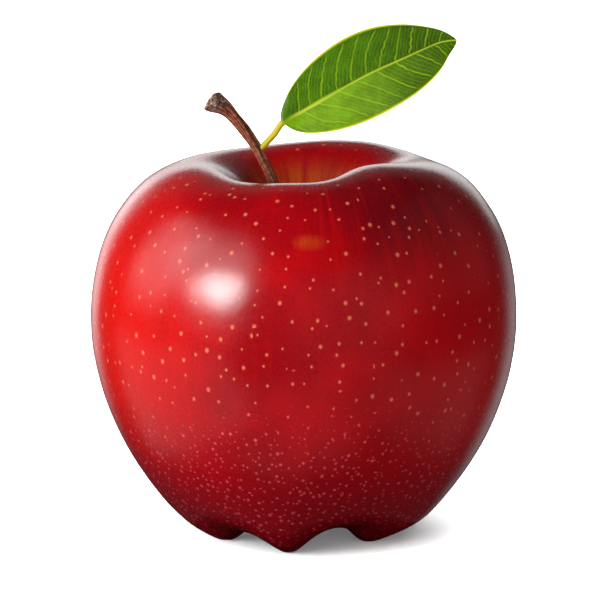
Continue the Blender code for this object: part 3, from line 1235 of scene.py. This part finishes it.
@dataclass(frozen=True)
class Calyx:
    """Five dried sepals and a tuft of dried stamens in the basin under the fruit."""

    count: int = 5
    path: Path = (
        (1.9, 9.4), (3.0, 8.2), (3.7, 6.9), (3.7, 5.6), (3.0, 4.5), (2.1, 3.9),
    )  # fmt: skip
    span_steps: int = 30
    rings: int = 70
    segments: int = 48
    half_width: float = 1.15
    tip_half_width: float = 0.12
    taper: float = 0.7
    half_thickness: float = 0.16
    thinning: float = 0.5
    fold: float = 0.15
    rib_depth: float = 0.09
    crumple_depth: float = 0.1
    first_azimuth: float = -11.0
    sepal_tissue: DriedTissue = DriedTissue("dried_sepal_tissue", "#8A6A48", "#4A3220", 2.5)

    # The stamens are threads with swollen tips, out of one tuft.
    stamens: int = 14
    thread_rings: int = 26
    thread_segments: int = 12
    thread_radius: float = 0.09
    tip_swelling: float = 0.07
    tuft_radius: float = 0.85
    tuft_top: float = 9.3
    tuft_bottoms: Limits = (6.2, 6.9)
    stamen_tissue: DriedTissue = DriedTissue("dried_stamen_threads", "#6B4A30", "#2C1A10", 3.0)

    def build(self) -> None:
        """Makes the sepals and the tuft."""
        tissue = self.sepal_tissue.build()
        for index in range(self.count):
            self.sepal(index, tissue)
        self.tuft()

    def sepal(self, index: int, material: bpy.types.Material) -> bpy.types.Object:
        """Makes one sepal, a ribbed and crumpled blade that hangs down and curls inwards.

        Its rings are thin lenses across a path of (distance from the axis, height), which
        then turns to the sepal's azimuth.

        Args:
            index: Which of the sepals, from 0.
            material: The dried tissue.

        Returns:
            The sepal's object.
        """
        path, above = upright_path(evenly(smooth_curve(self.path, self.span_steps), self.rings))
        share = np.linspace(0, 1, self.rings)[:, None]
        angle = np.linspace(0, math.tau, self.segments, endpoint=False)
        width = self.half_width * (1 - share) ** self.taper + self.tip_half_width
        aside = width * np.cos(angle)
        ribs = self.rib_depth * np.sin(9 * aside + 3 * share + index)
        crumple = self.crumple_depth * np.sin(14 * share + 2.1 * index + aside)
        thickness = self.half_thickness * (1 - self.thinning * share)
        lift = thickness * np.sin(angle) + ribs + crumple + self.fold * np.abs(aside)
        sideways = np.array([0.0, 1.0, 0.0])
        points = path[:, None] - above[:, None] * lift[..., None] + sideways * aside[..., None]

        turn = math.radians(self.first_azimuth) + math.tau * (index + 0.5) / self.count
        sine, cosine = math.sin(turn), math.cos(turn)
        points = points @ np.array([[sine, -cosine, 0], [cosine, sine, 0], [0, 0, 1]])
        # The rings run the other way round, so that the faces point outwards.
        obj = Surface(points[:, ::-1]).build(f"apple_sepal_{index + 1}", material)
        attach(obj, f"sepal_{index + 1}")
        return obj

    def tuft(self) -> bpy.types.Object:
        """Makes the stamens: thin wavy threads that spread as they hang, joined in one piece.

        Returns:
            The tuft's object.
        """
        rng = np.random.default_rng(31)
        material = self.stamen_tissue.build()
        share = np.linspace(0, 1, self.thread_rings)
        angle = np.linspace(0, math.tau, self.thread_segments, endpoint=False)
        # The rings run clockwise, so that the faces of a hanging thread point outwards.
        ring = np.stack([np.cos(angle), np.sin(angle), np.zeros_like(angle)], axis=-1)[::-1]
        swelling = self.tip_swelling * np.exp(-(((share - 0.93) / 0.07) ** 2))
        reach = (self.thread_radius + swelling)[:, None, None]
        threads = []
        for _ in range(self.stamens):
            azimuth, spread = rng.uniform(0, math.tau), rng.uniform(0.1, self.tuft_radius)
            bottom, phase = rng.uniform(*self.tuft_bottoms), rng.uniform(0, math.tau)
            out = spread * (0.55 + 0.45 * share) + 0.06 * np.sin(9 * share + phase)
            height = self.tuft_top + (bottom - self.tuft_top) * share
            middle = np.column_stack([out * math.cos(azimuth), out * math.sin(azimuth), height])
            threads.append(Surface(middle[:, None] + ring * reach).build("thread", material))
        with bpy.context.temp_override(
            active_object=threads[0], selected_editable_objects=threads, selected_objects=threads
        ):
            bpy.ops.object.join()
        obj = threads[0]
        obj.name = obj.data.name = "apple_stamens"
        attach(obj, "stamen_tuft")
        return obj


# The studio -----------------------------------------------------------------------------


@dataclass(frozen=True)
class SoftBox:
    """A studio light that the camera doesn't see.

    It stands on the sphere of its distance round the fruit's middle and faces that middle,
    from which its place and its size are angles in degrees. It is a rectangle, or an
    ellipse where round is set, and it fades over the soft share of its half size. Without
    shine it leaves no reflection, as a light behind a polarising sheet does.
    """

    name: str
    azimuth: float
    elevation: float
    wide: float
    high: float
    radiance: float
    distance: float = 1.0
    soft: float = 0.5
    round: bool = False
    shine: bool = True
    only_floor: bool = False

    def build(self, floor: bpy.types.Object) -> bpy.types.Object:
        """Places the light and turns it to the fruit.

        Args:
            floor: What the light falls on where it lights the floor alone.

        Returns:
            The light's object.
        """
        light = bpy.data.lights.new(self.name, "AREA")
        light.shape = "RECTANGLE"
        light.size, light.size_y = (
            2 * self.distance * math.tan(math.radians(angle) / 2)
            for angle in (self.wide, self.high)
        )
        light.energy = self.radiance * math.pi * light.size * light.size_y
        light.use_nodes = True
        self.fade(Graph(light.node_tree))
        obj = place(self.name, light)
        away = direction(self.azimuth, self.elevation)
        obj.location = LIT_POINT + away * self.distance
        obj.rotation_euler = (-away).to_track_quat("-Z", "Y").to_euler()
        obj.visible_camera = False
        obj.visible_glossy = self.shine
        if self.only_floor:
            lit = bpy.data.collections.new(f"lit_by_{self.name}")
            lit.objects.link(floor)
            obj.light_linking.receiver_collection = lit
        return obj

    def fade(self, g: Graph) -> None:
        """Lets the light fade towards its edges, or towards its rim where it is round.

        Args:
            g: The light's graph.
        """
        corner = g.add("NewGeometry", out="Parametric")
        aside = g.add("VectorMath", corner, (0.5, 0.5, 0.0), operation="SUBTRACT")
        full = 0.5 - self.soft / 2
        if self.round:
            away = g.add("VectorMath", aside, operation="LENGTH", out="Value")
            strength = g.grade(away, 0.5, full)
        else:
            across = g.add("SeparateXYZ", g.add("VectorMath", aside, operation="ABSOLUTE"))
            up = across.node.outputs["Y"]
            strength = g.math("MULTIPLY", g.grade(across, 0.5, full), g.grade(up, 0.5, full))
        g.add("OutputLight", g.add("Emission", WHITE, strength))


@dataclass(frozen=True)
class Studio:
    """A white sheet under soft light, and the camera."""

    # The key and its two companions make the highlight and the glow round it. The fill
    # gives colour alone. The panel and the backdrops draw the rims and the pale crest, the
    # low lights the milky lower half, and the last two light only the floor.
    lights: tuple[SoftBox, ...] = (
        SoftBox("key", -51, 17, 34, 27, 24.0, soft=0.8, round=True),
        SoftBox("key_left", -94, 25, 38, 58, 1.6, soft=0.5),
        SoftBox("key_diffuser", -62, 30, 68, 58, 2.6, soft=0.8, round=True),
        SoftBox("polarised_fill", 20, 6, 74, 60, 1.55, shine=False),
        SoftBox("right_panel", 77, 24, 106, 56, 0.06, soft=0.4),
        SoftBox("backdrop", 180, 8, 60, 24, 1.2, distance=1.3),
        SoftBox("backdrop_left", -154, 0, 34, 50, 1.25, distance=1.3, soft=0.9),
        SoftBox("backdrop_right", 154, -14, 38, 46, 0.35, distance=1.3, soft=0.9),
        SoftBox("backdrop_upper", 180, 34, 80, 30, 0.08, distance=1.3),
        SoftBox("low_left", -80, -29, 84, 44, 0.38, soft=0.4),
        SoftBox("low_front", -10, -44, 84, 60, 0.15, soft=0.6),
        SoftBox("low_right", 76, -32, 90, 40, 0.13, soft=0.6),
        SoftBox("floor_panel", -60, 74, 110, 110, 5.0, distance=1.2, soft=0.1, only_floor=True),
        SoftBox("floor_front", -20, 24, 90, 36, 2.6, distance=1.2, only_floor=True),
    )
    # Left, right, front and back edges, in metres.
    floor_edges: tuple[float, float, float, float] = (-0.25, 0.3, -0.2, 0.9)
    floor_glow: float = 0.12
    surround: float = 0.02
    shade_radius: float = 23.0
    shade_depth: float = 0.5
    shade_corners: int = 64
    distance: float = 2.0
    elevation: float = 12.0
    aim: tuple[float, float, float] = (0.000375, 0.0, 0.04366)
    lens: float = 628.2
    sensor: float = 36.0
    clip: Limits = (0.1, 20.0)

    def floor(self) -> bpy.types.Object:
        """Lays the pale floor, a sheet of matt paper, which takes only a soft shadow.

        Returns:
            The floor's object.
        """
        material, g = new_material("matt_white_paper_sheet")
        fibre = g.add("TexNoise", g.mm(), Scale=0.8, Detail=4.0)
        shader = g.add(
            "BsdfPrincipled",
            Base_Color=g.blend(fibre, srgb("#F4F4F4"), srgb("#F8F8F8")),
            Roughness=0.9,
            IOR=1.3,
            Emission_Color=WHITE,
            Emission_Strength=self.floor_glow,
        )
        g.add("OutputMaterial", shader)
        left, right, front, back = self.floor_edges
        corners = [(left, front, 0), (right, front, 0), (right, back, 0), (left, back, 0)]
        obj = self.sheet("floor", corners, material)
        # The sheet takes the fruit's shadow, and sends no light and no shadow back to it.
        obj.visible_diffuse = obj.visible_glossy = obj.visible_shadow = False
        return obj

    def shade(self) -> None:
        """Hides the low lights from the fruit's underside, as the floor would.

        It is a disc of black felt just under the floor, which sends back next to nothing.
        """
        material, g = new_material("black_felt_disc")
        g.add("OutputMaterial", g.add("BsdfDiffuse", srgb("#100C0C")))
        angle = np.linspace(0, math.tau, self.shade_corners, endpoint=False)
        rim = np.stack([np.cos(angle), np.sin(angle), np.zeros_like(angle)], axis=-1)
        corners = (rim * self.shade_radius - np.array([0, 0, self.shade_depth])) * MM
        self.sheet("shade", corners.tolist(), material).visible_camera = False

    @staticmethod
    def sheet(
        name: str, corners: Sequence[Sequence[float]], material: bpy.types.Material
    ) -> bpy.types.Object:
        """Makes a flat sheet of the studio's.

        Args:
            name: The object's name.
            corners: Its corners in metres, anticlockwise from above.
            material: What it is made of.

        Returns:
            The sheet's object.
        """
        mesh = bpy.data.meshes.new(name)
        mesh.from_pydata(corners, [], [tuple(range(len(corners)))])
        mesh.materials.append(material)
        obj = place(name, mesh)
        return obj

    def world(self) -> None:
        """A white surround to the camera, and a faint glow to everything else."""
        world = bpy.data.worlds.new("white_surround")
        bpy.context.scene.world = world
        world.use_nodes = True
        g = Graph(world.node_tree)
        seen = g.add("LightPath", out="Is Camera Ray")
        strength = g.grade(seen, 0.0, 1.0, self.surround, 1.0)
        g.add("OutputWorld", g.add("Background", WHITE, strength))

    def camera(self) -> None:
        """Places the camera and makes it the scene's."""
        camera = bpy.data.cameras.new("camera")
        camera.lens, camera.sensor_width = self.lens, self.sensor
        camera.clip_start, camera.clip_end = self.clip
        obj = place("camera", camera)
        obj.location = Vector(self.aim) + direction(0, self.elevation) * self.distance
        obj.rotation_euler = (math.radians(90 - self.elevation), 0, 0)
        bpy.context.scene.camera = obj

    def build(self) -> None:
        """Sets up floor, shade, surround, lights and camera."""
        floor = self.floor()
        self.shade()
        self.world()
        for light in self.lights:
            light.build(floor)
        self.camera()
        bpy.context.scene.view_settings.view_transform = "Standard"


def main() -> None:
    """Builds every piece in order, then the studio."""
    logging.basicConfig(level=logging.INFO, format="%(name)s: %(message)s")
    FruitBody().build()
    Stem().build()
    Leaf().build()
    Calyx().build()
    Studio().build()


if __name__ == "__main__":
    main()
